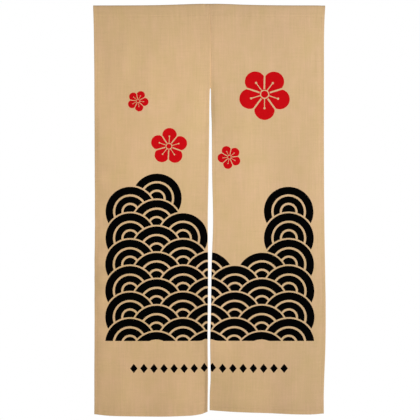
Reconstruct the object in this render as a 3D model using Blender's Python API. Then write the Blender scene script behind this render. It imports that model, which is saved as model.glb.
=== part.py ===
"""Noren curtain: two sewn cloth panels with a slit between them, under a heading that is a rod pocket.

Metres, +Z up. The front faces -Y and +X is to the viewer's right. The origin is the middle of the
top edge, so the cloth hangs down from it. A drop is a distance below the origin.
"""

import math
from collections import namedtuple

import bmesh
import bpy
import numpy as np

# Cloth
CLOTH = 0.0012  # one layer
HEM = 0.0010  # what a turned hem adds at the back
SIDE_HEM = 0.013  # also the seam allowance beside the centre seam
FOOT_HEM = 0.017
HEM_STEP = 0.0008  # width of the step where a hem ends
FIT = 0.0003  # between two sewn pieces

# Heading
POCKET = 0.042  # from the top fold to the stitch line
POCKET_OPEN = 0.0145  # clear depth of the pocket, front to back
FRONT_BULGE = 0.3  # share of that depth by which the front wall stands forward
TAIL = 0.003  # double cloth under the stitch line
CROWN = 0.0060  # how far the top edge drops from the centre seam to the corners
CROWN_REACH = 0.147
SWELL = 0.10  # share by which the pocket's depth wavers
SWELL_PITCH = 0.31
WIDEST_BULGE = 0.6495  # the most that the pocket's own formula reaches
PANEL_TOP = POCKET + TAIL + FIT
FOLDS_BEGIN = 0.070  # below the stitch line, over which the folds grow out of the flat heading

# Grids
PANEL_WIDTH = 0.420  # nominal, for the spacing of the columns
PANEL_FOOT = 1.500
COLUMN_STEP = 0.0235
ROW_STEP = 0.036
HEADING_STATIONS = 28
POCKET_SEGMENTS = 18

LINEN = (0.62, 0.42, 0.23)

# The cloth's edges at a few drops. The panels are sewn together down to the slit.
Level = namedtuple("Level", "drop outer_left inner_left inner_right outer_right")
OUTLINE = (
    Level(0.000, -0.4242, -0.0020, -0.0020, 0.4222),
    Level(0.054, -0.4228, 0.0005, 0.0005, 0.4195),
    Level(0.142, -0.4216, 0.0040, 0.0040, 0.4180),
    Level(0.309, -0.4199, 0.0030, 0.0030, 0.4180),
    Level(0.317, -0.4199, 0.0010, 0.0050, 0.4180),
    Level(0.332, -0.4198, 0.0003, 0.0055, 0.4179),
    Level(0.375, -0.4196, -0.0005, 0.0059, 0.4178),
    Level(0.450, -0.4193, -0.0012, 0.0084, 0.4177),
    Level(0.620, -0.4186, -0.0034, 0.0096, 0.4180),
    Level(0.800, -0.4178, -0.0064, 0.0132, 0.4194),
    Level(0.970, -0.4196, -0.0052, 0.0076, 0.4219),
    Level(1.150, -0.4194, -0.0062, 0.0050, 0.4240),
    Level(1.245, -0.4196, -0.0069, 0.0026, 0.4231),
    Level(1.374, -0.4202, -0.0058, 0.0042, 0.4185),
    Level(1.446, -0.4200, -0.0066, 0.0011, 0.4168),
    Level(1.510, -0.4206, -0.0072, 0.0006, 0.4172),
)

# The foot's line, which sags between the corners of each panel.
FootPoint = namedtuple("FootPoint", "x drop")
FOOT = {
    "left": (
        FootPoint(-0.420, 1.4975),
        FootPoint(-0.357, 1.5027),
        FootPoint(-0.204, 1.5050),
        FootPoint(-0.073, 1.5022),
        FootPoint(-0.029, 1.4965),
        FootPoint(-0.007, 1.4880),
    ),
    "right": (
        FootPoint(0.001, 1.4835),
        FootPoint(0.058, 1.4868),
        FootPoint(0.190, 1.4923),
        FootPoint(0.365, 1.4977),
        FootPoint(0.417, 1.4950),
    ),
}

# Soft folds: a ridge stands forward, a trough has a negative height. Each runs from its top to its
# foot drop, strongest halfway, and one whose foot is past the hem is still there at the hem.
# All of them grow out of the heading, which is flat across.
Fold = namedtuple("Fold", "panels x_top x_foot top foot half_width height")
BOTH = ("left", "right")
FOLDS = (
    Fold(BOTH, 0.000, 0.000, 0.06, 0.72, 0.080, -0.0070),
    Fold(("left",), -0.435, -0.435, 0.10, 1.90, 0.060, -0.0080),
    Fold(("left",), -0.340, -0.180, 0.28, 1.42, 0.085, 0.0070),
    Fold(("left",), -0.210, -0.260, 0.06, 0.62, 0.070, 0.0030),
    Fold(("left",), -0.070, -0.090, 0.62, 1.20, 0.045, -0.0040),
    Fold(("left",), -0.005, -0.005, 0.98, 1.42, 0.050, 0.0070),
    Fold(("left",), -0.130, -0.110, 1.22, 1.86, 0.060, 0.0070),
    Fold(("left",), -0.005, -0.005, 1.34, 1.78, 0.050, -0.0090),
    Fold(("left",), -0.350, -0.330, 1.12, 1.90, 0.055, 0.0050),
    Fold(("left",), -0.245, -0.235, 1.18, 1.84, 0.045, -0.0040),
    Fold(("right",), 0.435, 0.435, 0.16, 1.90, 0.055, -0.0080),
    Fold(("right",), 0.090, 0.110, 0.10, 0.94, 0.055, 0.0045),
    Fold(("right",), 0.250, 0.185, 0.34, 1.30, 0.050, -0.0055),
    Fold(("right",), 0.345, 0.325, 0.30, 1.36, 0.055, 0.0060),
    Fold(("right",), 0.000, 0.000, 0.96, 1.42, 0.035, 0.0070),
    Fold(("right",), 0.065, 0.070, 1.00, 1.40, 0.040, -0.0035),
    Fold(("right",), 0.010, 0.010, 1.28, 1.76, 0.055, -0.0110),
    Fold(("right",), 0.130, 0.150, 1.20, 1.84, 0.055, 0.0065),
    Fold(("right",), 0.240, 0.250, 1.26, 1.82, 0.045, -0.0050),
    Fold(("right",), 0.340, 0.335, 1.22, 1.86, 0.050, 0.0050),
)


def smooth(at, places, values):
    """A smooth line through a table's values that never swings past them."""
    places, values = np.array(places), np.array(values)
    secants = np.diff(values) / np.diff(places)
    pairs = secants[:-1] * secants[1:]
    inner = np.where(pairs > 0, 2 * pairs / np.where(pairs > 0, secants[:-1] + secants[1:], 1), 0)
    slopes = np.concatenate([secants[:1], inner, secants[-1:]])
    at = min(max(at, places[0]), places[-1])
    i = min(int(np.searchsorted(places, at, side="right")) - 1, len(places) - 2)
    span = places[i + 1] - places[i]
    t = (at - places[i]) / span
    start = (1 + 2 * t) * (1 - t) ** 2 * values[i] + t * (1 - t) ** 2 * span * slopes[i]
    end = t**2 * (3 - 2 * t) * values[i + 1] - t**2 * (1 - t) * span * slopes[i + 1]
    return float(start + end)


def edge(name, drop):
    """The x of one of the outline's edges at a drop."""
    return smooth(drop, [level.drop for level in OUTLINE], [getattr(level, name) for level in OUTLINE])


def panel_edges(panel, drop):
    """The x of a panel's outer and inner edges, with the seam's gap between the two panels."""
    left, right = edge("inner_left", drop), edge("inner_right", drop)
    middle = (left + right) / 2
    if panel == "left":
        return edge("outer_left", drop), min(left, middle - FIT / 2)
    return edge("outer_right", drop), max(right, middle + FIT / 2)


def top_line(x):
    """The z of the top edge, which stands highest at the centre seam."""
    return -CROWN * (1 - math.exp(-((x / CROWN_REACH) ** 2)))


def foot_line(panel, x):
    points = FOOT[panel]
    return -smooth(x, [point.x for point in points], [point.drop for point in points])


def fold_height(panel, x, drop):
    """How far the folds carry the cloth forward at a place."""
    height = 0.0
    for fold in FOLDS:
        along = (drop - fold.top) / (fold.foot - fold.top)
        if panel not in fold.panels or not 0 < along < 1:
            continue
        across = (x - fold.x_top - (fold.x_foot - fold.x_top) * along) / fold.half_width
        height += fold.height * math.exp(-(across**2)) * math.sin(math.pi * along) ** 2
    begun = min(max((drop - PANEL_TOP) / FOLDS_BEGIN, 0.0), 1.0)
    return height * begun**2 * (3 - 2 * begun)


def material():
    made = bpy.data.materials.new("linen")
    made.use_nodes = True
    shader = made.node_tree.nodes["Principled BSDF"]
    shader.inputs["Base Color"].default_value = (*LINEN, 1)
    shader.inputs["Roughness"].default_value = 0.9
    shader.inputs["Metallic"].default_value = 0.0
    return made


def add_object(name, bm, look):
    mesh = bpy.data.meshes.new(name)
    bm.to_mesh(mesh)
    bm.free()
    mesh.materials.append(look)
    mesh.shade_smooth()
    made = bpy.data.objects.new(name, mesh)
    bpy.context.scene.collection.objects.link(made)
    return made


def spaced(length, start_band, end_band, step):
    """Distances along a length, evenly spaced, with two more at the step of each hem."""
    starts = [start_band, start_band + HEM_STEP] if start_band else []
    ends = [length - end_band - HEM_STEP, length - end_band]
    first = starts[-1] if starts else 0.0
    count = round((ends[0] - first) / step)
    middle = [first + (ends[0] - first) * i / count for i in range(1, count)]
    return [0.0] + starts + middle + ends + [length]


def place(panel, across, down):
    """A point of the panel's front surface: across runs from its outer edge, down from its top."""
    drop = PANEL_TOP + (PANEL_FOOT - PANEL_TOP) * down
    outer, inner = panel_edges(panel, drop)
    x = outer + (inner - outer) * across
    top = top_line(x) - PANEL_TOP
    z = top + (foot_line(panel, x) - top) * down
    return x, -CLOTH / 2 - fold_height(panel, x, -z), z


def make_panel(panel, look):
    """A grid laid on the folds, given its thickness towards the back, with more in the hems."""
    length = PANEL_FOOT - PANEL_TOP
    columns = spaced(PANEL_WIDTH, SIDE_HEM, SIDE_HEM, COLUMN_STEP)
    rows = spaced(length, 0.0, FOOT_HEM, ROW_STEP)
    last_column, last_row = len(columns) - 1, len(rows) - 1

    bm = bmesh.new()
    bmesh.ops.create_grid(bm, x_segments=last_column, y_segments=last_row, size=0.5)
    hemmed = []
    for vert in bm.verts:
        column = round((vert.co.x + 0.5) * last_column)
        row = round((0.5 - vert.co.y) * last_row)
        in_side_hem = not 1 < column < last_column - 1
        in_foot_hem = row >= last_row - 1
        hemmed.append(in_side_hem or in_foot_hem)
        vert.co = place(panel, columns[column] / PANEL_WIDTH, rows[row] / length)
    if panel == "right":
        bmesh.ops.reverse_faces(bm, faces=bm.faces)

    made = add_object("panel_" + panel, bm, look)
    layers = made.vertex_groups.new(name="layers")
    for index, doubled in enumerate(hemmed):
        layers.add([index], 1.0 if doubled else CLOTH / (CLOTH + HEM), "REPLACE")
    solidify = made.modifiers.new("cloth", "SOLIDIFY")
    solidify.thickness = CLOTH + HEM
    solidify.offset = -1
    solidify.vertex_group = layers.name
    return made


def pocket_point(turn, offset, swell):
    """A point (y, drop) of the pocket's section, a drop shape that closes at the stitch line.

    Turn goes from 0 at the stitch line up the front, over the fold and down the back to a full turn.
    """
    nudge = 0.001  # keeps clear of the shape's sharp end, and is the step for its slope

    def inside(angle):
        bulge = math.sin(angle) * math.sin(angle / 2) ** 2 / WIDEST_BULGE
        depth = POCKET_OPEN * swell * (FRONT_BULGE if bulge > 0 else 1 - FRONT_BULGE)
        drop = CLOTH + (POCKET - CLOTH) * (1 + math.cos(angle)) / 2
        return CLOTH / 2 - depth * bulge, drop

    angle = min(max(turn * 2 * math.pi, nudge), 2 * math.pi - nudge)
    y, drop = inside(angle)
    ahead_y, ahead_drop = inside(angle + nudge / 2)
    behind_y, behind_drop = inside(angle - nudge / 2)
    along_y, along_drop = ahead_y - behind_y, ahead_drop - behind_drop
    length = math.hypot(along_y, along_drop)
    return y + offset * along_drop / length, drop - offset * along_y / length


def pocket_swell(share):
    """How far the pocket stands open at a share of its length, against its usual depth."""
    return 1 + SWELL * math.sin(2 * math.pi * share * (2 * PANEL_WIDTH / SWELL_PITCH))


def loft(name, section, first, last, stations, look):
    """A closed bar through a section that is worked out at each station across the heading."""
    bm = bmesh.new()
    rings = []
    for station in range(stations + 1):
        share = first + (last - first) * station / stations
        ring = []
        for y, drop in section(share):
            left, right = edge("outer_left", drop), edge("outer_right", drop)
            x = left + (right - left) * share
            ring.append(bm.verts.new((x, y, top_line(x) - drop)))
        rings.append(ring)
    for ring, following in zip(rings, rings[1:]):
        for i in range(len(ring)):
            bm.faces.new((ring[i - 1], ring[i], following[i], following[i - 1]))
    bm.faces.new(rings[0])
    bm.faces.new(rings[-1])
    bmesh.ops.recalc_face_normals(bm, faces=bm.faces)
    return add_object(name, bm, look)


def heading_section(share):
    swell = pocket_swell(share)
    walls = [pocket_point(i / POCKET_SEGMENTS, CLOTH, swell) for i in range(POCKET_SEGMENTS + 1)]
    foot = POCKET + TAIL
    return [(-CLOTH / 2, foot)] + walls + [(CLOTH * 3 / 2, foot)]


def hollow_section(share):
    swell = pocket_swell(share)
    return [pocket_point(i / POCKET_SEGMENTS, 0.0, swell) for i in range(POCKET_SEGMENTS)]


def make_heading(look):
    """The rod pocket, sewn across both panels: a closed sleeve that is open at its two ends."""
    past_the_end = 0.02
    heading = loft("heading", heading_section, 0, 1, HEADING_STATIONS, look)
    hollow = loft("pocket_hollow", hollow_section, -past_the_end, 1 + past_the_end, HEADING_STATIONS, look)
    hollow.hide_render = True
    hollow.display_type = "WIRE"
    cut = heading.modifiers.new("pocket", "BOOLEAN")
    cut.operation = "DIFFERENCE"
    cut.solver = "EXACT"
    cut.object = hollow
    return heading


def clear_scene():
    for existing in list(bpy.data.objects):
        bpy.data.objects.remove(existing)


def main():
    clear_scene()
    look = material()
    for panel in FOOT:
        make_panel(panel, look)
    make_heading(look)


main()
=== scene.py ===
"""Noren curtain: the finished cloth, its hems, its sewing and its print.

Metres, +Z up, the front faces -Y. Each panel is one sheet of cloth: it comes up inside the back of the
rod pocket, goes over the top fold, hangs down the front and turns up into the bottom hem. Its two side
edges are turned to the back first, so every hem is real layers of the same cloth.
"""

import math
from collections import namedtuple
from functools import partialmethod

import bmesh
import bpy
import numpy as np
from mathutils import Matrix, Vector


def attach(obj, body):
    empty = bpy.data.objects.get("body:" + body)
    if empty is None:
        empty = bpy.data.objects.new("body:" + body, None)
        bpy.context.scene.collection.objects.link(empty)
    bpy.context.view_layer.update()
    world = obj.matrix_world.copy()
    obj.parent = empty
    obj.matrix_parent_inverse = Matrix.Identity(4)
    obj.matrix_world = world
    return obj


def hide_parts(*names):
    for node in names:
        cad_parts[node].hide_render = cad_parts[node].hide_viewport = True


# Cloth
CLOTH = 0.00042
LAYER = 0.00050  # from one layer to the next in a fold
FRONT = -0.0004  # where a flat front layer lies, front to back
WIDTH = 0.420  # a panel between its side edges
FOOT = 1.500  # the drop that the foot line is measured from
HALF_DROP = 0.75  # halfway down the curtain
SIDE_HEM = 0.012
FOOT_HEM = 0.016
TURNED_IN = 0.008  # the raw edge inside each hem
HEM_EASE = 0.010  # across which the foot's layers come together beside a side hem

# Rod pocket
POCKET = 0.042  # from its fold to its stitches
TAIL = 0.003  # what is left of it below its stitches, behind
POCKET_OPEN = 0.0145  # how far it stands open, front to back
FRONT_BULGE = 0.3  # the share of that in front of its stitches
WIDEST_BULGE = 0.6495  # the most that its curve, sin(a) * sin(a / 2) ** 2, comes to
SWELL = 0.10  # how much its opening varies from end to end
SWELL_PITCH = 0.31
POCKET_STEP = 0.002  # the share of its turn across which its direction is taken
CROWN = 0.0060  # how far the top edge's ends lie below its middle
CROWN_REACH = 0.147

# Grid of the cloth. The shares divide the parts of a hem, from its raw edge round to its front.
COLUMN_STEP = 0.0052
ROW_STEP = 0.0046
POCKET_ROWS = 26
UNDER_SHARES = (1, 0.5, 0.15)
TUCK_SHARES = (1, 0.67, 0.33, 0)
FLAP_SHARES = (0.9, 0.7, 0.45, 0.2)
TURN_SHARES = (1, 0.8, 0.6, 0.4, 0.2, 0)
POCKET_FLAP_SHARE = 0.4
SEAM_OFFSETS = (-0.0036, -0.0014, 0.0, 0.0014, 0.0036)  # lines that catch the groove of a seam
BESIDE_EDGE = 0.0030  # the column closest to a side edge
ABOVE_FOOT = (0.0065, 0.0040)  # the rows closest to the foot

# The cloth's edges at a few drops. The panels are sewn together down to the slit.
SLIT_TOP = 0.309
Level = namedtuple("Level", "drop outer_left inner_left inner_right outer_right")
OUTLINE = (
    Level(0.000, -0.4242, -0.0020, -0.0020, 0.4222),
    Level(0.054, -0.4228, 0.0005, 0.0005, 0.4195),
    Level(0.142, -0.4216, 0.0040, 0.0040, 0.4180),
    Level(0.309, -0.4199, 0.0030, 0.0030, 0.4180),
    Level(0.312, -0.4199, 0.0014, 0.0046, 0.4180),
    Level(0.317, -0.4199, 0.0010, 0.0050, 0.4180),
    Level(0.332, -0.4198, 0.0003, 0.0055, 0.4179),
    Level(0.375, -0.4196, -0.0005, 0.0059, 0.4178),
    Level(0.450, -0.4193, -0.0012, 0.0084, 0.4177),
    Level(0.620, -0.4186, -0.0034, 0.0096, 0.4180),
    Level(0.800, -0.4178, -0.0064, 0.0132, 0.4194),
    Level(0.970, -0.4196, -0.0052, 0.0076, 0.4219),
    Level(1.150, -0.4194, -0.0062, 0.0050, 0.4240),
    Level(1.245, -0.4196, -0.0069, 0.0026, 0.4231),
    Level(1.374, -0.4202, -0.0058, 0.0042, 0.4185),
    Level(1.446, -0.4200, -0.0066, 0.0011, 0.4168),
    Level(1.510, -0.4206, -0.0072, 0.0006, 0.4172),
)

FootPoint = namedtuple("FootPoint", "x drop")
FOOT_LINE = {
    "left": (
        FootPoint(-0.420, 1.4975),
        FootPoint(-0.357, 1.5027),
        FootPoint(-0.204, 1.5050),
        FootPoint(-0.073, 1.5022),
        FootPoint(-0.029, 1.4965),
        FootPoint(-0.007, 1.4880),
    ),
    "right": (
        FootPoint(0.001, 1.4835),
        FootPoint(0.058, 1.4868),
        FootPoint(0.190, 1.4923),
        FootPoint(0.365, 1.4977),
        FootPoint(0.417, 1.4950),
    ),
}

# Soft folds: a ridge stands forward, a trough has a negative height. Each runs from its top to its
# foot drop, strongest halfway, and one whose foot is past the hem is still there at the hem.
FOLDS_BEGIN = 0.070  # the drop over which they grow out of the heading, which is flat across
Fold = namedtuple("Fold", "panels x_top x_foot top foot half_width height")
BOTH = ("left", "right")
FOLDS = (
    Fold(("left",), 0.000, 0.000, 0.04, 0.76, 0.075, -0.0050),
    Fold(("right",), 0.000, 0.000, 0.04, 0.76, 0.200, -0.0050),
    Fold(("left",), -0.450, -0.450, -0.12, 0.36, 0.090, -0.0050),
    Fold(("left",), -0.430, -0.430, 0.40, 1.90, 0.026, -0.0036),
    Fold(("left",), -0.340, -0.180, 0.28, 1.42, 0.085, 0.0055),
    Fold(("left",), -0.215, -0.250, 0.06, 0.62, 0.075, 0.0022),
    Fold(("left",), -0.070, -0.090, 0.62, 1.20, 0.050, -0.0030),
    Fold(("left",), -0.005, -0.005, 0.94, 1.36, 0.045, 0.0045),
    Fold(("left",), -0.145, -0.150, 1.14, 1.90, 0.080, 0.0055),
    Fold(("left",), -0.005, -0.005, 1.30, 1.86, 0.045, -0.0045),
    Fold(("left",), -0.330, -0.310, 1.10, 1.92, 0.065, 0.0032),
    Fold(("right",), 0.440, 0.440, -0.60, 2.10, 0.040, -0.0060),
    Fold(("right",), 0.285, 0.280, -0.16, 0.38, 0.090, 0.0045),
    Fold(("right",), 0.100, 0.110, 0.10, 0.94, 0.060, 0.0030),
    Fold(("right",), 0.250, 0.190, 0.34, 1.30, 0.060, -0.0050),
    Fold(("right",), 0.355, 0.335, 0.30, 1.36, 0.060, 0.0030),
    Fold(("right",), 0.000, 0.000, 0.94, 1.38, 0.045, 0.0048),
    Fold(("right",), 0.085, 0.090, 0.98, 1.40, 0.045, -0.0028),
    Fold(("right",), 0.000, 0.000, 1.26, 1.82, 0.058, -0.0060),
    Fold(("right",), 0.105, 0.110, 1.16, 1.90, 0.060, 0.0030),
    Fold(("right",), 0.215, 0.225, 1.22, 1.86, 0.050, -0.0020),
    Fold(("right",), 0.300, 0.300, 1.18, 1.90, 0.050, 0.0030),
)

# Creases and small puckers, too fine for the solids.
CREASES = (
    Fold(("right",), 0.3850, 0.3840, -0.04, 0.34, 0.0060, -0.0006),
    Fold(("right",), 0.4160, 0.4150, -0.40, 0.90, 0.0120, -0.0009),
    Fold(("left",), -0.3870, -0.3840, 0.02, 0.52, 0.0200, -0.0012),
    Fold(("left",), -0.4190, -0.4190, 0.20, 0.80, 0.0100, -0.0009),
    Fold(("left",), -0.4300, -0.4300, 0.24, 0.80, 0.0300, -0.0026),
    Fold(("left",), -0.4300, -0.4300, 0.86, 1.16, 0.0280, -0.0014),
    Fold(("right",), 0.4300, 0.4300, -0.30, 0.50, 0.0350, -0.0018),
    Fold(("right",), 0.4300, 0.4300, 0.84, 1.24, 0.0350, 0.0022),
    Fold(("left",), -0.0176, -0.0176, -0.04, 0.04, 0.0034, -0.0012),
    Fold(("left",), 0.0020, 0.0000, 0.22, 0.62, 0.0400, -0.0030),
    Fold(("right",), 0.0040, 0.0050, 0.20, 0.56, 0.0100, -0.0034),
    Fold(("right",), 0.0050, 0.0050, 0.14, 0.62, 0.0300, -0.0016),
    Fold(("left",), -0.0010, -0.0010, 0.14, 0.36, 0.0110, 0.0007),
    Fold(("left",), -0.0040, -0.0070, 0.90, 2.00, 0.0080, 0.0034),
    Fold(("left",), -0.3150, -0.3000, 0.02, 0.40, 0.0220, 0.0008),
    Fold(("right",), 0.2900, 0.3000, 0.03, 0.50, 0.0180, 0.0008),
    Fold(("left",), -0.2050, -0.2350, 0.10, 0.52, 0.0160, 0.0007),
    Fold(("right",), 0.1500, 0.1150, 0.12, 0.62, 0.0180, 0.0008),
    Fold(("left",), -0.1000, -0.1250, 0.95, 1.36, 0.0160, 0.0008),
    Fold(("left",), -0.3650, -0.3300, 0.66, 1.10, 0.0180, 0.0010),
    Fold(("right",), 0.2600, 0.2900, 0.90, 1.34, 0.0170, 0.0008),
)

# The centre seam, down to the top of the slit
SEAM_DIP = 0.0010  # how far the right panel sinks behind the left one
SEAM_REACH = 0.0050
SEAM_FADE = 0.05  # the drop over which that ends
SEAM_BACK = 0.0019  # how far the left panel's turned edge stands back there, to meet the right one's
SEAM_BACK_REACH = 0.0080
SEAM_BACK_TOP = 0.140
SEAM_BACK_BEGIN = 0.100  # the drops over which that begins and ends
SEAM_BACK_END = 0.020

# The slight unevenness that is all over hung cloth: a few waves in set directions
Cockle = namedtuple("Cockle", "across down phase height")
COCKLES = (
    Cockle(38.0, 9.0, 0.3, 0.00022),
    Cockle(-27.0, 16.0, 1.7, 0.00030),
    Cockle(61.0, 21.0, 4.1, 0.00014),
    Cockle(14.0, 47.0, 2.6, 0.00016),
    Cockle(-49.0, -33.0, 5.2, 0.00012),
    Cockle(88.0, 12.0, 0.9, 0.00007),
)

# Puckers along a sewn edge: waves along it that fade away from its stitches
Wave = namedtuple("Wave", "pitch height reach")
HEM_WAVE = Wave(0.0230, 0.00014, 0.020)
POCKET_WAVE = Wave(0.0185, 0.00030, 0.016)
Pucker = namedtuple("Pucker", "edge panels top foot wave")
PUCKERS = (
    Pucker("outer", ("left",), 0.55, 1.24, Wave(0.0900, 0.00200, 0.032)),
    Pucker("outer", ("right",), 0.30, 1.20, Wave(0.1040, 0.00100, 0.030)),
    Pucker("outer", BOTH, 0.02, 1.60, Wave(0.0190, 0.00028, 0.018)),
    Pucker("inner", BOTH, 0.02, 1.60, Wave(0.0170, 0.00025, 0.016)),
    Pucker("inner", BOTH, 0.30, 1.30, Wave(0.0560, 0.00060, 0.024)),
)
PUCKER_FADE = 0.08  # the drop over which one begins and ends

# Stitches
STITCH = 0.0027
STITCH_PITCH = 0.0035
STITCH_AHEAD = 0.0008  # how far along its line a stitch's direction is taken
STITCH_SIDES = 5
StitchRing = namedtuple("StitchRing", "along thick lift")
STITCH_RINGS = (
    StitchRing(-0.5, 0.25, -0.9),
    StitchRing(-0.3, 0.85, 0.15),
    StitchRing(0.0, 1.0, 0.35),
    StitchRing(0.3, 0.85, 0.15),
    StitchRing(0.5, 0.25, -0.9),
)
BARTACK = 0.0080  # a band of close stitches across the seam, where the slit begins
BARTACK_STITCHES = 9
BARTACK_TALL = 0.0022
BARTACK_ABOVE = 0.2  # how far above the slit it starts, as a share of its height
THREAD = 0.00030  # radius
SIDE_SEAM = 0.0108  # a stitch line's distance from its edge
FOOT_SEAM = 0.0145
GROOVE = 0.00017
GROOVE_REACH = 0.0016
Side = namedtuple("Side", "behind facing")
SEWN_SIDES = (Side(-CLOTH / 2, -1), Side(2 * LAYER + CLOTH / 2, 1))  # in front and at the back

# Print: a generic pattern of ringed scales under plum blossoms, and a row of diamonds
SCALE = 0.0962  # a scale's radius
SCALE_ROW = SCALE / 2
SCALE_TOP = 0.614
SCALE_FOOT = 1.230
SCALE_SIDE = 0.345
ROWS_OVER = 3  # how many rows of scales can cover a place
CREST = 0.83  # the drop of the pattern's wavy top, and how it rises and falls across the curtain
CREST_RISE = 0.17
CREST_AT = 0.215
CREST_SPAN = 0.60
Ring = namedtuple("Ring", "low high")
RINGS = (Ring(0.0, 0.255), Ring(0.335, 0.575), Ring(0.655, 0.94))
Blossom = namedtuple("Blossom", "x drop size turn")
BLOSSOMS = (
    Blossom(0.205, 0.330, 0.098, 0.3),
    Blossom(-0.150, 0.520, 0.070, 0.9),
    Blossom(0.075, 0.560, 0.045, 0.1),
    Blossom(-0.262, 0.355, 0.040, 0.5),
)
PETALS = 5
PETAL_AT, PETAL_RADIUS = 0.58, 0.375  # in blossom sizes, as the other parts of a blossom are
CENTRE_RADIUS = 0.45
GAP_FROM, GAP_HALF = 0.2, 0.030
STAMEN, STAMEN_HALF = Ring(0.16, 0.50), 0.016
TIP_AT, TIP_RADIUS = 0.52, 0.040
HEART_RING = Ring(0.13, 0.17)
DIAMOND = 0.0135
DIAMOND_TALL = 0.8  # its width as a share of its height
DIAMOND_PITCH = 0.0366
DIAMOND_DROP = 1.330
DIAMOND_SIDE = 0.295
INK_WANDER = 0.0016
SLIT_EDGES = (-0.0052, 0.0112)  # on the flat cloth; what is turned behind them is bare

# Colours and grain
TAN_COOL = (0.590, 0.410, 0.206)
TAN_WARM = (0.622, 0.412, 0.236)
BLACK = (0.0004, 0.0004, 0.0004)
BLACK_WORN = (0.0012, 0.0011, 0.0010)
RED = (0.560, 0.0040, 0.0070)
RED_DEEP = (0.450, 0.0030, 0.0050)
THREAD_LIGHT = (0.490, 0.335, 0.176)
THREAD_DARK = (0.400, 0.270, 0.142)
INK_ON_THREAD = 0.96
STRIKE_BLACK, STRIKE_RED = 0.16, 0.13  # how much of the ink shows at the back
INK_YARN = 0.3  # how much the yarns' tone shows in the ink
DRY_YARN, DRY_BARE = -0.42, 0.35  # the dips between yarns that ink partly misses
POCKET_SHADE = 0.955  # painted shade where the cloth is doubled, as less light comes through it
POCKET_SHADE_EDGE = 0.004
# painted shade of the doubled bottom hem
FOOT_SHADE = 0.968
FOOT_SHADE_FROM, FOOT_SHADE_TO = 0.060, 0.030  # the rises between which it sets in
UNDER_POCKET_SHADE = 0.050  # painted shade: how much darker the cloth is under the pocket
UNDER_POCKET_SHADE_FOOT = 0.200
UNDER_POCKET_SHADE_LEFT, UNDER_POCKET_SHADE_RIGHT = 0.08, 0.34
WARM_LIGHT_CAST = (1.012, 0.990, 0.974)  # the painted cast where the light on the cloth is warmest
# the painted cast where the light on the cloth is coolest
COOL_LIGHT_CAST = (0.984, 1.0, 1.030)
LIGHT_CAST = 0.56  # how warm the painted light cast is in the middle, from 0, cool, to 1, warm
LIGHT_CAST_LEFT, LIGHT_CAST_DOWN = 1.1, 0.30  # more of it for each metre to the left and down
# patches in the painted light cast
LIGHT_CAST_PATCHES = 0.8
CLOTH_ROUGH = 0.88
YARN_ROUGH, INK_SMOOTH = 0.10, 0.06
YARN = 0.00095  # from one yarn to the next
WEAVE_DEPTH = 0.00010
WEAVE_MEAN = 0.75
# painted shade in the weave's dips, and the weave's height
WEAVE_SHADE, WEAVE_HEIGHT = 0.10, 0.7

# Uneven yarns: each noise by its grains to a metre, and its part in the cloth's shade, hue and height
Grain = namedtuple("Grain", "across down detail shade hue height")
GRAINS = {
    "long_slub": Grain(900.0, 11.0, 2.0, 0.160, 0.0, 0.80),
    "cross_slub": Grain(14.0, 820.0, 2.0, 0.130, 0.6, 0.80),
    "fleck": Grain(2100.0, 2100.0, 1.0, 0.120, 0.0, 0.25),
    "bar": Grain(190.0, 7.0, 2.0, 0.085, 0.9, 0.0),
    "cross_bar": Grain(15.0, 170.0, 2.0, 0.060, 0.0, 0.0),
    "blotch": Grain(24.0, 17.0, 3.0, 0.050, 1.5, 0.0),
    "cloud": Grain(5.0, 3.6, 1.0, 0.030, 1.2, 0.0),
}

# Thread
PLY_SCALE = 420.0
PLY_BEND = 1.5
PLY_DEPTH = 0.00006
PLY_DARK, PLY_LIGHT = 0.88, 0.18  # painted shade in the dips between plies: its darkest, and how much lighter the ply tops are

# Floor
FLOOR_Z = -2.0
FLOOR_RADIUS = 2.2
FLOOR_NEAR = (0.80, 0.79, 0.77)
FLOOR_FAR = (0.95, 0.95, 0.95)
FLOOR_GLOW = 0.6
FLOOR_GRAIN = 0.02
FLOOR_BLEND = 0.2

# Light and camera
MIDDLE = (0, 0, -HALF_DROP)  # of the curtain
WORLD_LIGHT = 0.212
Light = namedtuple("Light", "name kind place size power target")
LIGHTS = (
    Light("key", "SUN", (4.3, -2.6, -0.65), math.radians(14), 2.40, MIDDLE),
    Light("front", "AREA", (0.12, -1.6, -0.42), 0.5, 12.5, (0.06, 0.0, -0.44)),
    Light("back", "AREA", (-0.9, 3.0, 0.7), 2.0, 70, MIDDLE),
)
LENS, SENSOR = 94, 36
CAMERA = (0.0018, -4.0, -0.7521)


def smooth(at, places, values):
    """A smooth line through a table's values that never swings past them."""
    places, values = np.array(places), np.array(values)
    secants = np.diff(values) / np.diff(places)
    pairs = secants[:-1] * secants[1:]
    inner = np.where(pairs > 0, 2 * pairs / np.where(pairs > 0, secants[:-1] + secants[1:], 1), 0)
    slopes = np.concatenate([secants[:1], inner, secants[-1:]])
    at = np.clip(at, places[0], places[-1])
    i = np.clip(np.searchsorted(places, at, side="right") - 1, 0, len(places) - 2)
    span = places[i + 1] - places[i]
    t = (at - places[i]) / span
    start = (1 + 2 * t) * (1 - t) ** 2 * values[i] + t * (1 - t) ** 2 * span * slopes[i]
    end = t**2 * (3 - 2 * t) * values[i + 1] - t**2 * (1 - t) * span * slopes[i + 1]
    return start + end


def ease(t):
    t = np.clip(t, 0, 1)
    return t * t * (3 - 2 * t)


def edge(name, drop):
    """The x of one of the outline's edges at a drop."""
    return smooth(drop, [level.drop for level in OUTLINE], [getattr(level, name) for level in OUTLINE])


def top_line(x):
    """The z of the top edge, which stands highest at the centre seam."""
    return -CROWN * (1 - np.exp(-((x / CROWN_REACH) ** 2)))


def foot_line(panel, x):
    points = FOOT_LINE[panel]
    return -smooth(x, [point.x for point in points], [point.drop for point in points])


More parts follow.
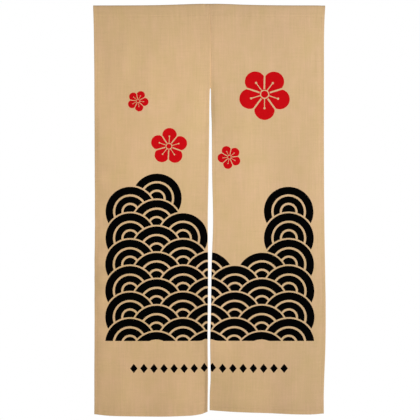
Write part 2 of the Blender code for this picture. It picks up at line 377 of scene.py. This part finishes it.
def fold_height(panel, folds, x, drop):
    """How far these folds carry the cloth forward at a place."""
    height = np.zeros(np.broadcast(x, drop).shape)
    for fold in folds:
        if panel not in fold.panels:
            continue
        along = (drop - fold.top) / (fold.foot - fold.top)
        across = (x - fold.x_top - (fold.x_foot - fold.x_top) * along) / fold.half_width
        strength = np.sin(math.pi * np.clip(along, 0, 1)) ** 2
        height = height + fold.height * np.exp(-(across**2)) * strength
    return height


def cockle(x, drop):
    return sum(wave.height * np.sin(wave.across * x + wave.down * drop + wave.phase) for wave in COCKLES)


def pucker_wave(wave, away, along, stitch):
    """Waves along a sewn edge, strongest on its stitches. Two slower ones make them uneven."""
    phase = 2 * math.pi * along / wave.pitch
    uneven = phase + 1.1 * np.sin(phase / 5.3) + 0.7 * np.sin(phase / 2.3 + 1.0)
    return wave.height * np.sin(uneven) * np.exp(-(((away - stitch) / wave.reach) ** 2))


def groove(away):
    """The line that stitches draw into the cloth."""
    return -GROOVE * np.exp(-((away / GROOVE_REACH) ** 2))


def relief(panel, x, drop, from_inner, from_outer, from_foot, from_pocket):
    """Everything that is finer than the folds, as a height towards the front."""
    height = fold_height(panel, CREASES, x, drop) + cockle(x, drop)
    for pucker in PUCKERS:
        if panel not in pucker.panels:
            continue
        away = from_outer if pucker.edge == "outer" else from_inner
        span = ease((drop - pucker.top) / PUCKER_FADE) * ease((pucker.foot - drop) / PUCKER_FADE)
        height = height + span * pucker_wave(pucker.wave, away, drop, SIDE_SEAM)
    height = height + pucker_wave(HEM_WAVE, from_foot, x, FOOT_SEAM)
    height = height + pucker_wave(POCKET_WAVE, from_pocket, x, 0.0)
    height = height + groove(from_outer - SIDE_SEAM) + groove(from_foot - FOOT_SEAM)
    height = height + groove(from_inner - SIDE_SEAM) + groove(from_pocket)
    if panel == "right":
        dip = SEAM_DIP * np.exp(-((from_inner / SEAM_REACH) ** 2))
        height = height - dip * ease((SLIT_TOP - drop) / SEAM_FADE)
    return height


def spread(panel, inset, nominal_drop):
    """The x at an inset from the panel's inner edge, at a nominal drop."""
    inner, outer = edge("inner_" + panel, nominal_drop), edge("outer_" + panel, nominal_drop)
    return inner + (outer - inner) * inset / WIDTH


def surface(panel, inset, rise, behind):
    """A point of the hanging cloth at an inset from its inner edge and a rise above its foot."""
    length = FOOT - POCKET
    x = spread(panel, inset, FOOT - rise)
    foot = foot_line(panel, x)
    z = foot + (top_line(x) - POCKET - foot) * rise / length
    height = fold_height(panel, FOLDS, x, -z) * ease((-z - POCKET - TAIL) / FOLDS_BEGIN)
    height = height + relief(panel, x, -z, inset, WIDTH - inset, rise, length - rise)
    return np.stack(np.broadcast_arrays(x, FRONT - height + behind, z), axis=-1)


def pocket_surface(panel, inset, turn, behind, stack, most):
    """A point of the rod pocket. Turn is 0 at the stitches in front and 1 at those behind."""

    def wall(turn):
        angle = 2 * math.pi * turn
        bulge = math.sin(angle) * math.sin(angle / 2) ** 2 / WIDEST_BULGE
        depth = POCKET_OPEN * (FRONT_BULGE if bulge > 0 else 1 - FRONT_BULGE)
        backwards = ease(turn) * (2 * stack + most)
        return backwards - depth * bulge * swell, POCKET * (1 + math.cos(angle)) / 2

    x = spread(panel, inset, 0.0)
    swell = 1 + SWELL * np.sin(2 * math.pi * (x + WIDTH) / SWELL_PITCH)
    y, drop = wall(turn)
    ahead_y, ahead_drop = wall(min(turn + POCKET_STEP, 1))
    back_y, back_drop = wall(max(turn - POCKET_STEP, 0))
    length = np.hypot(ahead_y - back_y, ahead_drop - back_drop)
    y = y + behind * (back_drop - ahead_drop) / length
    drop = drop + behind * (ahead_y - back_y) / length
    x = spread(panel, inset, drop)
    height = relief(panel, x, drop, inset, WIDTH - inset, FOOT - drop, POCKET - drop)
    return np.stack(np.broadcast_arrays(x, FRONT - height + y, top_line(x) - drop), axis=-1)


# A station is where a line of the grid runs across a hem or a panel. "main" is the front layer,
# "turn" the fold at the edge, "flap" the layer behind, "tuck" the fold at its end, and "under" the
# raw edge inside. At is a distance from the edge, or an angle in the two folds.
Station = namedtuple("Station", "part at")


def hem_place(station, width, behind, stack, most):
    """The distance from the edge, and the depth behind the front, of a hem's point.

    Behind is the depth of this layer in its own stack, whose deepest layer is at most.
    """
    turn_radius = stack + most / 2
    tuck_radius = (stack + most) / 2
    part, at = station
    if part == "main":
        return at, behind
    if part == "turn":
        reach = turn_radius - behind
        return turn_radius - reach * math.sin(at), turn_radius - reach * math.cos(at)
    if part == "flap":
        return at, 2 * turn_radius - behind
    if part == "tuck":
        reach = tuck_radius - behind
        away = width - tuck_radius + reach * math.sin(at)
        return away, 2 * turn_radius - tuck_radius + reach * math.cos(at)
    return at, stack + behind


def tucked_end(width):
    """The stations of the raw edge inside a hem, and of the fold beside it."""
    under = [Station("under", width - TURNED_IN * share) for share in UNDER_SHARES]
    return under + [Station("tuck", math.pi * share) for share in TUCK_SHARES]


def hem_stations(width):
    """A hem's stations, from the raw edge inside it round to the front."""
    flap = [Station("flap", width * share) for share in FLAP_SHARES]
    turn = [Station("turn", math.pi * share) for share in TURN_SHARES]
    return tucked_end(width) + flap + turn


def even(first, last, step):
    """Places from first to last, both left out, evenly spaced."""
    count = max(1, round((last - first) / step))
    return [first + (last - first) * i / count for i in range(1, count)]


def columns():
    """(from the inner edge?, station) for each column of the cloth's grid."""
    hem = hem_stations(SIDE_HEM)
    close = [BESIDE_EDGE] + [SIDE_SEAM + offset for offset in SEAM_OFFSETS]
    middle = even(close[-1], WIDTH - close[-1], COLUMN_STEP)
    inner = [(True, station) for station in hem]
    inner += [(True, Station("main", at)) for at in close + middle]
    outer = [(False, Station("main", at)) for at in reversed(close)]
    outer += [(False, station) for station in reversed(hem)]
    return inner + outer


def rows():
    """The stations down the cloth, from the raw edge in the pocket to the one in the bottom hem."""
    pocket = [Station("pocket_" + part, at) for part, at in tucked_end(POCKET + TAIL)]
    pocket += [Station("pocket_flap", POCKET + TAIL * POCKET_FLAP_SHARE)]
    pocket += [Station("pocket", 1 - i / POCKET_ROWS) for i in range(POCKET_ROWS + 1)]
    length = FOOT - POCKET
    under_pocket = [length - offset for offset in SEAM_OFFSETS if offset > 0]
    close = [FOOT_SEAM - offset for offset in SEAM_OFFSETS]
    main = under_pocket + even(under_pocket[-1], close[0], -ROW_STEP) + close + list(ABOVE_FOOT)
    hem = [Station(part, at) for part, at in reversed(hem_stations(FOOT_HEM))]
    return pocket + [Station("main", rise) for rise in main] + hem


def seam_back(panel, from_edge, drop):
    """How much further back a turned edge stands, down the seam to the top of the slit."""
    if panel == "right":
        return 0.0
    span = ease((drop - SEAM_BACK_TOP) / SEAM_BACK_BEGIN)
    span = span * ease((SLIT_TOP + SEAM_BACK_END - drop) / SEAM_BACK_END)
    return SEAM_BACK * span * np.exp(-((from_edge / SEAM_BACK_REACH) ** 2))


def grid_points(panel):
    """The whole sheet as an array of points, rows by columns."""
    flat = [hem_place(station, SIDE_HEM, 0.0, LAYER, 0.0) for _, station in columns()]
    from_edge = np.array([place[0] for place in flat])
    behind = np.array([place[1] for place in flat])
    from_inner = np.array([inner for inner, _ in columns()])
    inset = np.where(from_inner, from_edge, WIDTH - from_edge)
    to_edge = np.minimum(inset, WIDTH - inset)
    most = 2 * LAYER * ease((SIDE_HEM + HEM_EASE - to_edge) / HEM_EASE)
    stack = most + LAYER
    share = np.where(from_inner, behind / (2 * LAYER), 0.0)

    made = []
    for station in rows():
        part, at = station
        if part == "pocket":
            made.append(pocket_surface(panel, inset, at, behind, stack, most))
        elif part.startswith("pocket_"):
            end = Station(part.removeprefix("pocket_"), at)
            drop, depth = hem_place(end, POCKET + TAIL, behind, stack, most)
            made.append(surface(panel, inset, FOOT - drop, depth))
        else:
            rise, depth = hem_place(station, FOOT_HEM, behind, stack, most)
            depth = depth + share * seam_back(panel, from_edge, FOOT - rise)
            made.append(surface(panel, inset, rise, depth))
    return np.array(made)


def cloth_coordinates(panel, points):
    """Flat coordinates of the grid in metres: x from the centre seam, and minus the drop."""
    level, middle = points.shape[0] // 2, points.shape[1] // 2
    steps_across = np.linalg.norm(np.diff(points[level], axis=0), axis=1)
    across = np.concatenate([[0], np.cumsum(steps_across)])
    sign = -1 if panel == "left" else 1
    u = points[level, middle, 0] + (across - across[middle]) * sign
    steps_down = np.linalg.norm(np.diff(points, axis=0), axis=2)
    down = np.concatenate([np.zeros((1, points.shape[1])), np.cumsum(steps_down, axis=0)])
    stitched = [station.part for station in rows()].index("main") - 1
    v = points[stitched, :, 2] - (down - down[stitched])
    return np.stack(np.broadcast_arrays(u, v), axis=-1)


def add_object(name, data):
    made = bpy.data.objects.new(name, data)
    bpy.context.scene.collection.objects.link(made)
    return made


def cloth_mesh(panel, slots):
    points = grid_points(panel)
    row_count, column_count = points.shape[:2]
    mesh = bpy.data.meshes.new("cloth_" + panel)
    index = np.arange(row_count * column_count).reshape(row_count, column_count)
    corners = [index[:-1, :-1], index[1:, :-1], index[1:, 1:], index[:-1, 1:]]
    if panel == "left":
        corners.reverse()
    faces = np.stack(corners, axis=-1).reshape(-1, 4)
    mesh.from_pydata(points.reshape(-1, 3), [], faces.tolist())
    layer = mesh.uv_layers.new(name="cloth")
    flat = cloth_coordinates(panel, points).reshape(-1, 2)
    layer.data.foreach_set("uv", flat[faces.reshape(-1)].astype(np.float32).reshape(-1))
    mesh.shade_smooth()
    for material in slots:
        mesh.materials.append(material)
    piece = add_object("cloth_" + panel, mesh)
    solidify = piece.modifiers.new("thickness", "SOLIDIFY")
    solidify.thickness = CLOTH
    solidify.offset = 0
    solidify.material_offset = 1
    solidify.material_offset_rim = 0
    return piece


def stitch_runs(panel):
    """Each stitch line of a panel: (a share of it -> its inset and rise), and its length."""
    length = FOOT - POCKET
    inner = FOOT - SLIT_TOP if panel == "left" else length
    return [
        (lambda t: (WIDTH - SIDE_SEAM, length * (1 - t)), length),
        (lambda t: (WIDTH * t, FOOT_SEAM), WIDTH),
        (lambda t: (WIDTH * t, length), WIDTH),
        (lambda t: (SIDE_SEAM, inner * (1 - t)), inner),
    ]


def stitch_template():
    """Points of one stitch along +X: a spindle of a few sides whose ends dive into the cloth."""
    points, faces = [], []
    for ring in STITCH_RINGS:
        for side in range(STITCH_SIDES):
            angle = 2 * math.pi * side / STITCH_SIDES
            across = THREAD * ring.thick * math.cos(angle)
            up = THREAD * (ring.lift + ring.thick * math.sin(angle))
            points.append((ring.along * STITCH, across, up))
    for start in range(0, len(points) - STITCH_SIDES, STITCH_SIDES):
        for side in range(STITCH_SIDES):
            a, b = start + side, start + (side + 1) % STITCH_SIDES
            faces.append((a, b, b + STITCH_SIDES, a + STITCH_SIDES))
    faces.append(tuple(reversed(range(STITCH_SIDES))))
    faces.append(tuple(range(len(points) - STITCH_SIDES, len(points))))
    return np.array(points), faces


def unit(vectors):
    return vectors / np.linalg.norm(vectors, axis=-1, keepdims=True)


def bartack(behind):
    """The left and right ends of the close stitches that hold the top of the slit together."""
    rise = FOOT - SLIT_TOP + BARTACK_TALL * (BARTACK_ABOVE + np.linspace(0, 1, BARTACK_STITCHES))
    inset = np.full(rise.shape, BARTACK / 2)
    further = behind + (behind > 0) * seam_back("left", inset, FOOT - rise)
    return surface("left", inset, rise, further), surface("right", inset, rise, behind)


def stitches(panel, material):
    """All the stitches of a panel, in front and behind, as one mesh."""
    template, faces = stitch_template()
    made, polygons = [], []

    def sew(centres, along, facing, stretch=1.0):
        along = unit(along)
        out = np.zeros_like(centres)
        out[:, 1] = facing
        side = unit(np.cross(out, along))
        up = np.cross(along, side)
        for centre, x_axis, y_axis, z_axis in zip(centres, along * stretch, side, up):
            start = len(made) * len(template)
            made.append(centre + template @ np.array([x_axis, y_axis, z_axis]))
            polygons.extend([start + corner for corner in face] for face in faces)

    for line, length in stitch_runs(panel):
        count = int(length / STITCH_PITCH)
        share = (np.arange(count) + 0.5) / count
        share_ahead = share + STITCH_AHEAD / length
        for behind, facing in SEWN_SIDES:
            inset, rise = (np.broadcast_to(value, share.shape) for value in line(share))
            ahead = (np.broadcast_to(value, share.shape) for value in line(share_ahead))
            centres = surface(panel, inset, rise, behind)
            sew(centres, surface(panel, *ahead, behind) - centres, facing)
    if panel == "right":
        for behind, facing in SEWN_SIDES:
            left, right = bartack(behind)
            sew((left + right) / 2, right - left, facing, BARTACK / STITCH)

    mesh = bpy.data.meshes.new("stitches_" + panel)
    mesh.from_pydata(np.concatenate(made), [], polygons)
    mesh.shade_smooth()
    mesh.materials.append(material)
    return add_object("stitches_" + panel, mesh)


class Field:
    """A number that nodes work out all over the cloth. Arithmetic on it adds the nodes."""

    def __init__(self, tree, socket):
        self.tree = tree
        self.socket = socket

    def math(self, operation, *others):
        node = self.tree.nodes.new("ShaderNodeMath")
        node.operation = operation
        for slot, value in zip(node.inputs, (self, *others)):
            feed(self.tree, slot, value)
        return Field(self.tree, node.outputs["Value"])

    __add__ = __radd__ = partialmethod(math, "ADD")
    __sub__ = partialmethod(math, "SUBTRACT")
    __rsub__ = partialmethod(math, "MULTIPLY_ADD", -1.0)
    __mul__ = partialmethod(math, "MULTIPLY")
    __truediv__ = partialmethod(math, "DIVIDE")
    __lt__ = partialmethod(math, "LESS_THAN")
    __gt__ = partialmethod(math, "GREATER_THAN")
    __abs__ = partialmethod(math, "ABSOLUTE")


def feed(tree, slot, value):
    """Sets an input to a number, or links it to a field or a socket."""
    if isinstance(value, Field):
        value = value.socket
    if isinstance(value, bpy.types.NodeSocket):
        tree.links.new(value, slot)
    else:
        slot.default_value = value


def distance(x, y):
    return (x * x + y * y).math("SQRT")


def clamp(value):
    return value.math("MAXIMUM", 0.0).math("MINIMUM", 1.0)


def ramp(value, first, last):
    """0 at the first value and 1 at the last, level beyond them."""
    return clamp((value - first) / (last - first))


def between(value, low, high):
    return (value > low) * (value < high)


def vector_math(tree, operation, one, other):
    node = tree.nodes.new("ShaderNodeVectorMath")
    node.operation = operation
    feed(tree, node.inputs[0], one)
    feed(tree, node.inputs["Scale" if operation == "SCALE" else 1], other)
    return node.outputs["Vector"]


def noise(tree, place, scale, detail=2.0, roughness=0.5):
    """Noise from 0 to 1 whose grain is 1 / scale metres, with a scale for each direction."""
    texture = tree.nodes.new("ShaderNodeTexNoise")
    feed(tree, texture.inputs["Vector"], vector_math(tree, "MULTIPLY", place, (*scale, 1.0)))
    texture.inputs["Scale"].default_value = 1.0
    texture.inputs["Detail"].default_value = detail
    texture.inputs["Roughness"].default_value = roughness
    return Field(tree, texture.outputs["Fac"])


def split(tree, place, axes="XY"):
    parts = tree.nodes.new("ShaderNodeSeparateXYZ")
    feed(tree, parts.inputs[0], place)
    return [Field(tree, parts.outputs[axis]) for axis in axes]


def mix(tree, share, one, other):
    """A colour between two others."""
    node = tree.nodes.new("ShaderNodeMix")
    node.data_type = "RGBA"
    by_name = {slot.identifier: slot for slot in node.inputs}
    for key, value in (("Factor_Float", share), ("A_Color", one), ("B_Color", other)):
        feed(tree, by_name[key], (*value, 1.0) if isinstance(value, tuple) else value)
    return next(slot for slot in node.outputs if slot.identifier == "Result_Color")


def shaded(tree, colour, shade):
    """A colour made lighter or darker."""
    return vector_math(tree, "SCALE", colour, shade)


def group(name, outputs):
    """A node group that takes a place on the cloth, with the outputs it is to fill."""
    tree = bpy.data.node_groups.new(name, "ShaderNodeTree")
    tree.interface.new_socket("Place", in_out="INPUT", socket_type="NodeSocketVector")
    for output in outputs:
        tree.interface.new_socket(output, in_out="OUTPUT", socket_type="NodeSocketFloat")
    place = tree.nodes.new("NodeGroupInput").outputs["Place"]
    return tree, place, tree.nodes.new("NodeGroupOutput")


def scallops(x, drop):
    """The wave pattern: rows of ringed scales, each row in front of the one above it."""
    row = ((drop - SCALE_TOP) / SCALE_ROW).math("FLOOR")
    ink = x * 0.0
    for ahead in range(ROWS_OVER):
        this_row = row + float(ahead)
        centre_drop = this_row * SCALE_ROW + SCALE_TOP
        shift = this_row.math("FLOORED_MODULO", 2.0) * SCALE
        centre_x = ((x - shift) / (2 * SCALE)).math("ROUND") * (2 * SCALE) + shift
        wave = ((centre_x + CREST_AT) * (2 * math.pi / CREST_SPAN)).math("COSINE")
        crest = wave * -CREST_RISE + CREST
        radius = distance(x - centre_x, drop - centre_drop) / SCALE
        drawn = (radius < 1.0) * (centre_drop > crest) * (abs(centre_x) < SCALE_SIDE)
        rings = radius < RINGS[0].high
        for ring in RINGS[1:]:
            rings = rings + between(radius, *ring)
        ink = ink + drawn * (rings - ink)
    return ink * (drop < SCALE_FOOT)


def blossoms(x, drop):
    """Plum blossoms: five round petals with gaps between them, stamens, and a ring round the heart."""
    across, down, turn, inside = x * 0.0, x * 0.0, x * 0.0, x * 0.0
    for blossom in BLOSSOMS:
        own_across = (x - blossom.x) / blossom.size
        own_down = (drop - blossom.drop) / blossom.size
        here = distance(own_across, own_down) < 1.0
        across = across + here * own_across
        down = down + here * own_down
        turn = turn + here * blossom.turn
        inside = inside + here
    radius = distance(across, down)
    angle = down.math("ARCTAN2", across) + turn
    petal_angle = 2 * math.pi / PETALS
    fold = abs(angle.math("FLOORED_MODULO", petal_angle) - petal_angle / 2)
    along = radius * fold.math("COSINE")
    beside = radius * fold.math("SINE")
    petal = distance(along - PETAL_AT, beside) < PETAL_RADIUS
    petals = petal.math("MAXIMUM", radius < CENTRE_RADIUS)
    gap = ((petal_angle / 2 - fold) * radius < GAP_HALF) * (radius > GAP_FROM)
    stamen = (beside < STAMEN_HALF) * between(along, *STAMEN)
    tip = distance(along - TIP_AT, beside) < TIP_RADIUS
    ring = between(radius, *HEART_RING)
    bare = gap.math("MAXIMUM", stamen).math("MAXIMUM", tip).math("MAXIMUM", ring)
    return petals * (1.0 - bare) * inside


def diamonds(x, drop):
    """A row of small diamonds."""
    across = abs(x.math("FLOORED_MODULO", DIAMOND_PITCH) - DIAMOND_PITCH / 2)
    down = abs(drop - DIAMOND_DROP)
    return (across + down * DIAMOND_TALL < DIAMOND) * (abs(x) < DIAMOND_SIDE)


def print_group():
    """How much black and how much red ink lies at a place, with edges that wander a little."""
    tree, place, out = group("print", ("Black", "Red"))
    x, y = split(tree, place)
    wander = noise(tree, place, (260.0, 300.0), detail=3.0, roughness=0.7) - 0.5
    other = noise(tree, place, (310.0, 240.0), detail=3.0, roughness=0.7) - 0.5
    x = x + wander * INK_WANDER
    drop = other * INK_WANDER - y
    printed = (x < SLIT_EDGES[0]).math("MAXIMUM", x > SLIT_EDGES[1])
    feed(tree, out.inputs["Black"], scallops(x, drop).math("MAXIMUM", diamonds(x, drop)) * printed)
    feed(tree, out.inputs["Red"], blossoms(x, drop))
    return tree


def linen_group():
    """Plain weave with uneven yarns: its light and dark, with painted shade in the weave's dips, its
    hue, and the height of its threads.
    """
    tree, place, out = group("linen", ("Shade", "Hue", "Height", "Yarn"))
    x, y = split(tree, place)
    warp_at, weft_at = x * (math.pi / YARN), y * (math.pi / YARN)
    warp_over = warp_at.math("COSINE") * weft_at.math("SINE")
    weft_over = warp_at.math("SINE") * weft_at.math("COSINE")
    weave = abs(warp_over).math("MAXIMUM", abs(weft_over))

    # painted shade where the weave dips between yarns
    shade = 1.0 + (weave - WEAVE_MEAN) * WEAVE_SHADE
    hue = 0.5
    height = weave * WEAVE_HEIGHT
    uneven = {}
    for name, grain in GRAINS.items():
        uneven[name] = noise(tree, place, (grain.across, grain.down), grain.detail) - 0.5
        shade = shade + uneven[name] * grain.shade
        hue = hue + uneven[name] * grain.hue
        height = height + uneven[name] * grain.height
    feed(tree, out.inputs["Shade"], shade)
    feed(tree, out.inputs["Hue"], clamp(hue))
    feed(tree, out.inputs["Height"], height)
    feed(tree, out.inputs["Yarn"], uneven["long_slub"] + uneven["cross_slub"])
    return tree


def painted_shade(x, drop):
    """Painted shade: darker where the cloth is doubled, and under the pocket."""
    pocket = ramp(drop, POCKET, POCKET - POCKET_SHADE_EDGE)
    foot = ramp(drop, FOOT - FOOT_SHADE_FROM, FOOT - FOOT_SHADE_TO)
    # painted shade under the pocket, fading out downwards and to the right
    under_pocket_shade = ramp(drop, UNDER_POCKET_SHADE_FOOT, POCKET) * ramp(x, UNDER_POCKET_SHADE_RIGHT, UNDER_POCKET_SHADE_LEFT)
    return 1.0 - pocket * (1.0 - POCKET_SHADE) - foot * (1.0 - FOOT_SHADE) - under_pocket_shade * UNDER_POCKET_SHADE


def cast(tree, place, x, drop):
    """A painted cast of warmer light on the cloth, strongest at its left side and foot."""
    patch = noise(tree, place, (4.0, 3.0), detail=1.0) - 0.5
    warmth = LIGHT_CAST - x * LIGHT_CAST_LEFT + (drop - HALF_DROP) * LIGHT_CAST_DOWN + patch * LIGHT_CAST_PATCHES
    return mix(tree, clamp(warmth), COOL_LIGHT_CAST, WARM_LIGHT_CAST)


def use_group(tree, made, place):
    node = tree.nodes.new("ShaderNodeGroup")
    node.node_tree = made
    feed(tree, node.inputs["Place"], place)
    return {output.name: Field(tree, output) for output in node.outputs}


def material(name, roughness, specular=0.5, sheen=0.0):
    made = bpy.data.materials.new(name)
    made.use_nodes = True
    shader = made.node_tree.nodes["Principled BSDF"]
    shader.inputs["Roughness"].default_value = roughness
    shader.inputs["Specular IOR Level"].default_value = specular
    shader.inputs["Sheen Weight"].default_value = sheen
    return made, made.node_tree, shader


def raise_surface(tree, shader, height, depth):
    bump = tree.nodes.new("ShaderNodeBump")
    bump.inputs["Distance"].default_value = depth
    feed(tree, bump.inputs["Height"], height)
    feed(tree, shader.inputs["Normal"], bump.outputs["Normal"])


def cloth_material(name, ink, linen, black_share, red_share):
    """Tan linen with as much of each ink as this side of the cloth shows."""
    made, tree, shader = material(name, CLOTH_ROUGH, specular=0.012, sheen=0.01)
    uv = tree.nodes.new("ShaderNodeUVMap")
    uv.uv_map = "cloth"
    place = uv.outputs["UV"]
    threads = use_group(tree, linen, place)
    inked = use_group(tree, ink, place)
    x, y = split(tree, place)
    drop = y * -1.0
    cloth = mix(tree, threads["Hue"], TAN_COOL, TAN_WARM)
    # painted shade where the cloth is doubled and under the pocket
    cloth = shaded(tree, cloth, threads["Shade"] * painted_shade(x, drop))
    # painted warm cast of the light, strongest at the left side and foot
    cloth = vector_math(tree, "MULTIPLY", cloth, cast(tree, place, x, drop))

    mottle = noise(tree, place, (230.0, 260.0), detail=3.0, roughness=0.65) - 0.5
    tone = 1.0 + threads["Yarn"] * INK_YARN
    red = shaded(tree, mix(tree, 0.5 + mottle, RED, RED_DEEP), tone)
    black = shaded(tree, mix(tree, 0.5 + mottle, BLACK, BLACK_WORN), tone)
    cover = 1.0 - (threads["Yarn"] < DRY_YARN) * DRY_BARE
    colour = mix(tree, inked["Red"] * cover * red_share, cloth, red)
    colour = mix(tree, inked["Black"] * cover * black_share, colour, black)
    feed(tree, shader.inputs["Base Color"], colour)
    roughness = CLOTH_ROUGH + threads["Yarn"] * YARN_ROUGH
    roughness = roughness - inked["Black"] * (INK_SMOOTH * black_share)
    feed(tree, shader.inputs["Roughness"], roughness)
    raise_surface(tree, shader, threads["Height"], WEAVE_DEPTH)
    return made


def facing_front(tree, place):
    """A place in the room as a place on the flat cloth."""
    x, z = split(tree, place, "XZ")
    flat = tree.nodes.new("ShaderNodeCombineXYZ")
    feed(tree, flat.inputs["X"], x)
    feed(tree, flat.inputs["Y"], z)
    return flat.outputs["Vector"]


def thread_material(ink):
    """Cotton thread in two plies, a shade darker than the cloth and printed with it in front."""
    made, tree, shader = material("thread", 0.8, specular=0.1, sheen=0.02)
    coordinates = tree.nodes.new("ShaderNodeTexCoord")
    place = coordinates.outputs["Object"]
    turns = tree.nodes.new("ShaderNodeTexWave")
    turns.bands_direction = "DIAGONAL"
    turns.inputs["Scale"].default_value = PLY_SCALE
    turns.inputs["Distortion"].default_value = PLY_BEND
    feed(tree, turns.inputs["Vector"], place)
    ply = Field(tree, turns.outputs["Fac"])
    tone = noise(tree, place, (90.0, 90.0)) - 0.5
    colour = mix(tree, 0.5 + tone, THREAD_LIGHT, THREAD_DARK)
    # painted shade in the dips between the plies
    colour = shaded(tree, colour, PLY_DARK + ply * PLY_LIGHT)
    inked = use_group(tree, ink, facing_front(tree, place))
    (normal_y,) = split(tree, coordinates.outputs["Normal"], "Y")
    cover = (normal_y < 0.0) * INK_ON_THREAD
    colour = mix(tree, inked["Red"] * cover, colour, RED)
    colour = mix(tree, inked["Black"] * cover, colour, BLACK)
    feed(tree, shader.inputs["Base Color"], colour)
    raise_surface(tree, shader, ply, PLY_DEPTH)
    return made


def floor_material():
    """Pale ground whose rim glows, though it is no lamp, and fades into the white behind it."""
    made, tree, shader = material("floor", 0.9)
    place = tree.nodes.new("ShaderNodeTexCoord").outputs["Object"]
    x, y = split(tree, place)
    rim = (distance(x, y) / FLOOR_RADIUS).math("SMOOTH_MIN", 1.0, FLOOR_BLEND)
    grain = noise(tree, place, (3.0, 3.0), detail=4.0) - 0.5
    colour = shaded(tree, mix(tree, rim, FLOOR_NEAR, FLOOR_FAR), 1.0 + grain * FLOOR_GRAIN)
    feed(tree, shader.inputs["Base Color"], colour)
    shader.inputs["Emission Color"].default_value = (1, 1, 1, 1)
    # painted light: the floor glows more the further out towards its rim
    feed(tree, shader.inputs["Emission Strength"], rim * rim * rim * FLOOR_GLOW)
    return made


def add_floor():
    bm = bmesh.new()
    bmesh.ops.create_circle(bm, cap_ends=True, segments=64, radius=FLOOR_RADIUS)
    mesh = bpy.data.meshes.new("floor")
    bm.to_mesh(mesh)
    bm.free()
    mesh.materials.append(floor_material())
    floor = add_object("floor", mesh)
    floor.location = (0, 0, FLOOR_Z)


def add_light(name, kind, place, size, power, target):
    """An area light of a size in metres, or a sun whose size is an angle."""
    data = bpy.data.lights.new(name, kind)
    if kind == "SUN":
        data.angle = size
    else:
        data.size = size
    data.energy = power
    light = add_object(name, data)
    light.location = place
    light.rotation_euler = (Vector(target) - Vector(place)).to_track_quat("-Z", "Y").to_euler()
    light.visible_camera = False


def add_world(strength):
    """White to the eye, and dimmer as a light."""
    world = bpy.data.worlds.new("studio")
    world.use_nodes = True
    nodes, links = world.node_tree.nodes, world.node_tree.links
    background = nodes["Background"]
    seen = nodes.new("ShaderNodeBackground")
    seen.inputs["Color"].default_value = (1, 1, 1, 1)
    seen.inputs["Strength"].default_value = 1.0
    background.inputs["Color"].default_value = (1, 1, 1, 1)
    background.inputs["Strength"].default_value = strength
    path = nodes.new("ShaderNodeLightPath")
    mixed = nodes.new("ShaderNodeMixShader")
    links.new(path.outputs["Is Camera Ray"], mixed.inputs["Fac"])
    links.new(background.outputs["Background"], mixed.inputs[1])
    links.new(seen.outputs["Background"], mixed.inputs[2])
    links.new(mixed.outputs["Shader"], nodes["World Output"].inputs["Surface"])
    bpy.context.scene.world = world


def add_camera():
    data = bpy.data.cameras.new("camera")
    data.lens = LENS
    data.sensor_width = SENSOR
    camera = add_object("camera", data)
    camera.location = CAMERA
    camera.rotation_euler = (math.radians(90), 0, 0)
    bpy.context.scene.camera = camera


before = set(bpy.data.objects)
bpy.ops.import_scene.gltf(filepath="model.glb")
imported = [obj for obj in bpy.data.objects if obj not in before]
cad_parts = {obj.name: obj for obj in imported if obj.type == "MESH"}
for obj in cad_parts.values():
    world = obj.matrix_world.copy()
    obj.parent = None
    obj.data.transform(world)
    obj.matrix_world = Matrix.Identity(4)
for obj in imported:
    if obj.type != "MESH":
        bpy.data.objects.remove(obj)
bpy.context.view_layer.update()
bpy.context.scene.view_settings.view_transform = "Standard"
add_camera()
add_floor()
add_world(WORLD_LIGHT)
for light in LIGHTS:
    add_light(*light)

ink, linen = print_group(), linen_group()
front = cloth_material("cloth_front", ink, linen, 1.0, 1.0)
back = cloth_material("cloth_back", ink, linen, STRIKE_BLACK, STRIKE_RED)
thread = thread_material(ink)
for panel in BOTH:
    cloth = cloth_mesh(panel, (front, back))
    sewing = stitches(panel, thread)
    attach(cloth, "root")
    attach(sewing, "root")
    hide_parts("panel_" + panel, "heading")
